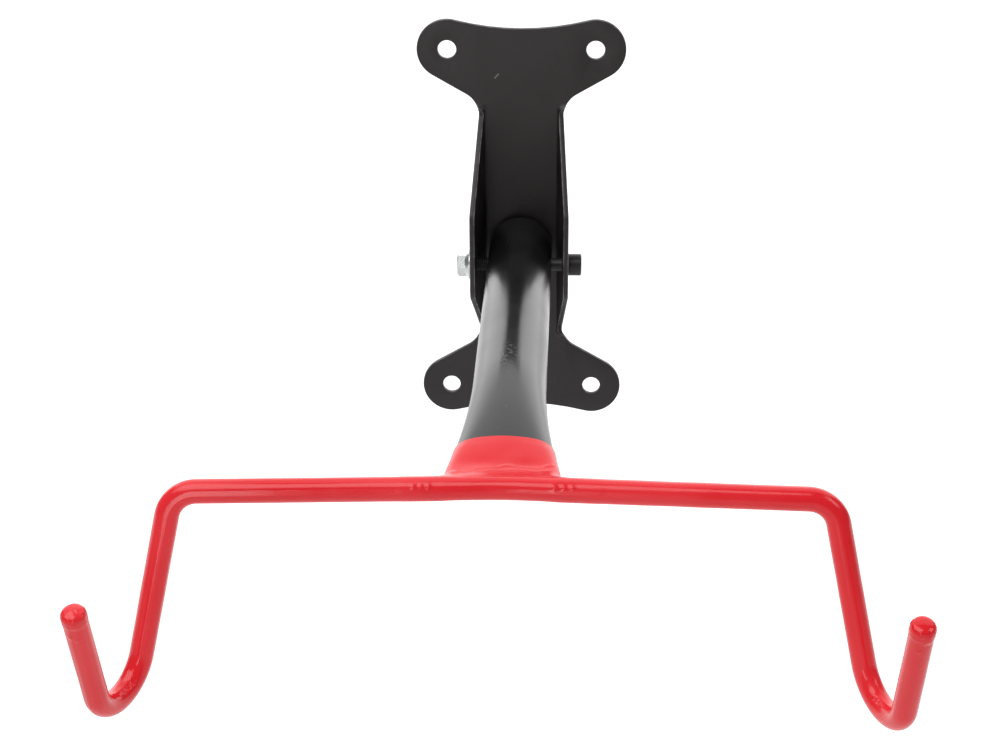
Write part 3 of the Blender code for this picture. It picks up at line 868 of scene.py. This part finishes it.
CREASE = (
    # x, behind the bar
    (-0.0300, 0.0060),
    (-0.0190, 0.0078),
    (-0.0075, 0.0102),
    (0.0030, 0.0140),
    (0.0100, 0.0118),
    (0.0160, 0.0106),
    (0.0210, 0.0145),
    (0.0300, 0.0180),
)
RIPPLES = (
    # run from the left tip, or back from the right tip when negative; direction it faces; size; height
    # drips at the tips
    (0.0100, (-0.35, -1.0, 0.1), 0.0012, 0.00035),
    (0.0115, (0.10, -1.0, 0.1), 0.0010, 0.00022),
    (0.0020, (0.20, -1.0, 0.0), 0.0018, 0.00030),
    (-0.0020, (0.35, -1.0, 0.0), 0.0016, 0.00045),
    (-0.0042, (0.55, -1.0, 0.0), 0.0011, 0.00055),
    (-0.0046, (0.15, -1.0, 0.0), 0.0009, 0.00040),
    (-0.0105, (-0.15, -1.0, 0.1), 0.0009, 0.00045),
    (-0.0125, (0.05, -1.0, 0.1), 0.0007, 0.00030),
    # wrinkles inside the valleys
    (0.0835, (0.20, -0.6, 1.0), 0.0013, 0.00030),
    (0.0852, (0.60, -0.7, 1.0), 0.0011, -0.00055),
    (0.0870, (0.30, -0.9, 0.8), 0.0010, 0.00040),
    (0.0886, (0.50, -0.6, 0.8), 0.0010, -0.00055),
    (0.0904, (0.20, -1.0, 0.6), 0.0011, 0.00030),
    (0.0925, (0.40, -0.8, 0.6), 0.0010, -0.00040),
    (-0.0840, (-0.20, -0.6, 1.0), 0.0012, 0.00030),
    (-0.0858, (-0.60, -0.7, 1.0), 0.0011, -0.00055),
    (-0.0876, (-0.30, -0.9, 0.8), 0.0010, 0.00040),
    (-0.0893, (-0.50, -0.6, 0.8), 0.0010, -0.00055),
    (-0.0912, (-0.20, -1.0, 0.6), 0.0011, 0.00030),
)
TIP_SWELLS = (
    # run from the tip, reach along the rod, height
    (0.0032, 0.0010, 0.00022),
    (0.0005, 0.0020, 0.00010),
)
WAVE_HEIGHT = 0.00008
WAVES_PER_METRE = 70
WELD_BUMPS = (
    # x along the bar, size, height
    (-0.0405, 0.0009, 0.00055),
    (-0.0370, 0.0007, 0.00045),
    (-0.0335, 0.0009, 0.00050),
    (0.0245, 0.0012, 0.00060),
    (0.0290, 0.0009, 0.00055),
    (0.0330, 0.0008, 0.00045),
)


def crease_behind(x):
    """How far behind the bar the fine crease across the flat part runs at x."""
    for (x0, back0), (x1, back1) in zip(CREASE, CREASE[1:]):
        if x < x1:
            return back0 + (back1 - back0) * smooth_share(x, x0, x1)
    return CREASE[-1][1]


def skin_swell(run, total, place):
    """How far the vinyl swells all round the rod: drips near the tips and a slight waviness."""
    from_tip = min(run, total - run)
    swell = 0.0
    for middle, reach, height in TIP_SWELLS:
        swell += height * math.exp(-(((from_tip - middle) / reach) ** 2))
    return swell + WAVE_HEIGHT * noise.noise(place * WAVES_PER_METRE)


def raise_spot(verts, place, lift, size, height):
    """Push the skin out, or in, round one place."""
    for vert in verts:
        away = (vert.co - place).length_squared
        if away < 9 * size * size:
            vert.co += lift * height * math.exp(-away / (size * size))


def first_skin(line, samples):
    """One closed skin round the pressed end, the rod, its tips and the welds."""
    start = ARM_LENGTH - DIP_BEHIND - DIP_SPARE
    bm = tube_shell(start, ARM_LENGTH, 0.001, True, VINYL, False)
    add_rod(bm, line, SKIN_RADIUS)
    for end in (0, -1):
        place, _, ahead, _ = samples[end]
        outward = -ahead if end == 0 else ahead
        add_tip(bm, place + outward * (VINYL - TIP_SINK), outward, SKIN_RADIUS)
    for side in (-1, 1):
        add_web(bm, side, VINYL, ROD_RADIUS + 0.0001)
    coating = as_object("rack_hook_coating", bm)
    remesh = coating.modifiers.new("one skin", "REMESH")
    remesh.mode = "VOXEL"
    remesh.voxel_size = SKIN_VOXEL
    return settle(coating)


def soften(bm):
    """Smooth the whole skin, then the corner between the bar and the pressed end some more."""
    corner = []
    for vert in bm.verts:
        near = abs(vert.co.x) < CORNER_HALF_WIDTH and abs(vert.co.z - PIVOT.z) < NEAR_BAR
        if near and -0.004 < behind_bar(vert.co) < 0.028:
            corner.append(vert)
    every_way = {"use_axis_x": True, "use_axis_y": True, "use_axis_z": True}
    for verts, passes in ((bm.verts, SKIN_PASSES), (corner, CORNER_PASSES)):
        for _ in range(passes):
            bmesh.ops.smooth_vert(bm, verts=verts, factor=0.5, **every_way)


def cover_weld(vert, place, along, radial):
    """Keep the skin at least its own radius from the rod's line, and slightly more over the welds."""
    x = abs(vert.co.x)
    over_weld = smooth_share(x, 0.020, 0.028) * smooth_share(CORNER_HALF_WIDTH - x, 0.0, 0.006)
    reach = (vert.co - place - along).length
    least = SKIN_RADIUS + WELD_COVER * over_weld
    if x < CORNER_HALF_WIDTH and 0.0 < reach < least:
        vert.co += radial.normalized() * (least - reach)


def dent_flat(vert, behind):
    """Give the flat part behind the bar its trough, dents and crease, and lift the bar's underside."""
    if abs(vert.co.x) < 0.030 and vert.co.z > PIVOT.z:
        away = (behind - crease_behind(vert.co.x)) / CREASE_WIDTH
        fade = smooth_share(0.029 - abs(vert.co.x), 0.0, 0.008)
        vert.co.z += top_relief(vert.co) + CREASE_HEIGHT * fade * math.exp(-away * away)
    if behind < UNDERSIDE_END:
        lower = smooth_share(PIVOT.z - vert.co.z, 0.0, 0.004)
        lower *= smooth_share(UNDERSIDE_END - behind, 0.0, 0.004)
        middle = smooth_share(0.030 - abs(vert.co.x + 0.002), 0.0, 0.012)
        vert.co.z += UNDERSIDE_LIFT * lower * middle


def fit_skin(bm, samples, total):
    """Draw the skin round the rod and shape it behind the bar, noting each place along the rod."""
    tree = kdtree.KDTree(len(samples))
    for i, sample in enumerate(samples):
        tree.insert(sample[0], i)
    tree.balance()
    skin = bm.verts.layers.float_vector.new("skin")
    for vert in bm.verts:
        _, index, _ = tree.find(vert.co)
        place, run, ahead, up = samples[index]
        offset = vert.co - place
        slide = offset.dot(ahead)
        along = ahead * slide
        radial = offset - along
        across = ahead.cross(up)
        vert[skin] = (run + slide, radial.dot(across), radial.dot(up))
        inside = 0.0 < run + slide < total and radial.length > 1e-4
        near_bar = abs(vert.co.z - PIVOT.z) < NEAR_BAR
        on_rod = smooth_share(abs(vert.co.x), 0.038, 0.050) if near_bar else 1.0
        if inside and on_rod > 0:
            swollen = SKIN_RADIUS + skin_swell(run, total, place)
            vert.co = vert.co.lerp(place + along + radial.normalized() * swollen, on_rod)
        behind = behind_bar(vert.co)
        if near_bar:
            cover_weld(vert, place, along, radial)
            dent_flat(vert, behind)


def sample_at(samples, run):
    return min(samples, key=lambda sample: abs(sample[1] - run))


def raise_spots(bm, samples, total):
    """Add the drips at the tips, the wrinkles in the valleys and the bumps over the welds."""
    verts = bm.verts[:]
    for run, toward, size, height in RIPPLES:
        place, _, ahead, _ = sample_at(samples, run if run > 0 else total + run)
        toward = Vector(toward)
        lift = (toward - ahead * ahead.dot(toward)).normalized()
        raise_spot(verts, place + lift * SKIN_RADIUS, lift, size, height)
    lift = Vector((0.0, -math.cos(WELD_BUMP_SLOPE), math.sin(WELD_BUMP_SLOPE)))
    for x, size, height in WELD_BUMPS:
        place = PIVOT + Vector((x, -ARM_LENGTH - bar_sweep(x), 0.0)) + lift * SKIN_RADIUS
        raise_spot(verts, place, lift, size, height)


def trim_at_dip(bm):
    """Cut the skin off at the dip line and close it there."""
    dip = PIVOT - Vector((0.0, ARM_LENGTH - DIP_BEHIND, 0.0))
    bisect(bm, dip, (0.0, 1.0, 0.0), clear_outer=True)
    bmesh.ops.holes_fill(bm, edges=[edge for edge in bm.edges if edge.is_boundary], sides=0)
    bmesh.ops.recalc_face_normals(bm, faces=bm.faces)


def make_coating():
    """The vinyl skin, hollowed for the tube's end, the rod and the welds."""
    line = rod_line()
    samples, total = rod_samples(line)
    coating = first_skin(line, samples)
    bm = bmesh.new()
    bm.from_mesh(coating.data)
    soften(bm)
    fit_skin(bm, samples, total)
    raise_spots(bm, samples, total)
    trim_at_dip(bm)
    bm.to_mesh(coating.data)
    bm.free()
    start = ARM_LENGTH - DIP_BEHIND - DIP_SPARE
    inner = tube_shell(start, ARM_LENGTH, 0.001, True, SNUG)
    spaces = [as_object("tube space", inner), rod_cutter("rod space", SNUG)]
    for side in (-1, 1):
        spaces.append(solid_from("weld space", add_web, side, SNUG, ROD_RADIUS + WELD_TOE))
    return carve(coating, *spaces)


# ---------------------------------------------------------------- studio


def glowing(name, axis, low, high, start, end):
    """A matt white that glows, more strongly towards one end."""
    material, tree, shader, place = start_material(name)
    along = put(tree, "ShaderNodeSeparateXYZ", {"Vector": place}).outputs[axis]
    feed(tree, shader, "Base Color", (0.30, 0.30, 0.30, 1.0))
    feed(tree, shader, "Roughness", 1.0)
    feed(tree, shader, "Specular IOR Level", 0.0)
    feed(tree, shader, "Emission Color", (1.0, 1.0, 1.0, 1.0))
    feed(tree, shader, "Emission Strength", spread(tree, along, start, end, low, high))
    return material


def studio_panel(name, middle, tilt, size, material):
    bm = bmesh.new()
    turn = Matrix.Rotation(tilt, 4, "X")
    scale = Matrix.Diagonal((size[0], size[1], 1.0, 1.0))
    matrix = Matrix.Translation(middle) @ turn @ scale
    bmesh.ops.create_grid(bm, x_segments=1, y_segments=1, size=0.5, matrix=matrix)
    panel = as_object(name, bm)
    panel.data.materials.append(material)


def make_stage():
    """A pale floor, well below, a pale sweep behind it and a pale canopy over its back half."""
    upright = math.pi / 2
    floor = glowing("pale floor", "Y", 0.70, 1.0, 0.0, 0.6)
    studio_panel("studio_floor", (0.0, 0.0, -0.85), 0.0, (14.0, 14.0), floor)
    sweep = glowing("pale sweep", "Z", 1.0, 1.65, -0.5, 0.1)
    studio_panel("studio_sweep", (0.0, 3.6, 1.0), upright, (9.0, 3.7), sweep)
    canopy = glowing("pale canopy", "Y", 0.9, 1.25, 0.3, 3.0)
    studio_panel("studio_canopy", (0.0, 2.0, 2.3), math.radians(-18), (6.0, 3.6), canopy)


def area_light(name, place, aim, size, power):
    data = bpy.data.lights.new(name, "AREA")
    data.shape = "RECTANGLE"
    data.size, data.size_y = size
    data.energy = power
    light = bpy.data.objects.new(name, data)
    light.location = place
    light.rotation_euler = (Vector(aim) - Vector(place)).to_track_quat("-Z", "Y").to_euler()
    bpy.context.scene.collection.objects.link(light)


def make_lights():
    world = bpy.data.worlds.new("studio")
    world.use_nodes = True
    back = world.node_tree.nodes["Background"]
    back.inputs["Color"].default_value = (1.0, 1.0, 1.0, 1.0)
    back.inputs["Strength"].default_value = 0.22
    bpy.context.scene.world = world
    middle = (0.0, -0.25, 0.0)
    area_light("overhead softbox", (-0.55, -0.75, 1.35), middle, (1.5, 1.2), 17.0)
    area_light("right softbox", (1.30, -0.70, 1.10), middle, (0.5, 0.8), 4.0)
    area_light("front strip", (-0.35, -2.00, 0.10), middle, (0.25, 0.9), 4.0)


def make_camera():
    """Seen from in front, a little to the right and well above the arm."""
    place = Vector((0.0327, -1.1869, 0.4149))
    yaw, pitch, roll = 0.039, -0.411, 0.005
    aim = Matrix.Rotation(yaw, 3, "Z") @ Matrix.Rotation(pitch, 3, "X") @ Matrix.Rotation(roll, 3, "Y")
    upright = aim @ Matrix.Rotation(math.pi / 2, 3, "X")
    data = bpy.data.cameras.new("camera")
    data.lens = 73.7
    data.sensor_width = 36.0
    camera = bpy.data.objects.new("camera", data)
    camera.matrix_world = Matrix.Translation(place) @ upright.to_4x4()
    bpy.context.scene.collection.objects.link(camera)
    bpy.context.scene.camera = camera


def main():
    bpy.context.scene.view_settings.view_transform = "Standard"
    peel = make_peel_group()
    specks = make_specks_group()
    dress(make_wall_plate(), powder_coat(peel, specks), "bracket", "wall_plate")
    oxide = metal("black oxide", peel, (0.030, 0.029, 0.030), 0.36, 0.5)
    dress(make_bolt(), oxide, "bracket", "pivot_bolt")
    zinc = metal("bright zinc", peel, (0.68, 0.70, 0.69), 0.22)
    dress(make_nut(), zinc, "bracket", "flange_nut")
    dress(make_arm_tube(), gloss_paint(peel, specks), "arm", "arm_tube")
    dress(make_coating(), red_vinyl(peel), "arm", "hook_coating", sharp=60.0)
    weld = {"color": (0.33, 0.32, 0.32), "roughness": 0.50, "scale": 500.0, "depth": 0.6}
    hidden = {
        "hook_bar": metal("drawn steel", peel, (0.45, 0.45, 0.46), 0.35),
        "weld_bead_left": metal("weld metal", peel, **weld),
        "weld_bead_right": metal("weld metal", peel, **weld),
    }
    for node, material in hidden.items():
        materials = frame["nodes"][node].data.materials
        materials.clear()
        materials.append(material)
    make_stage()
    make_lights()
    make_camera()


main()
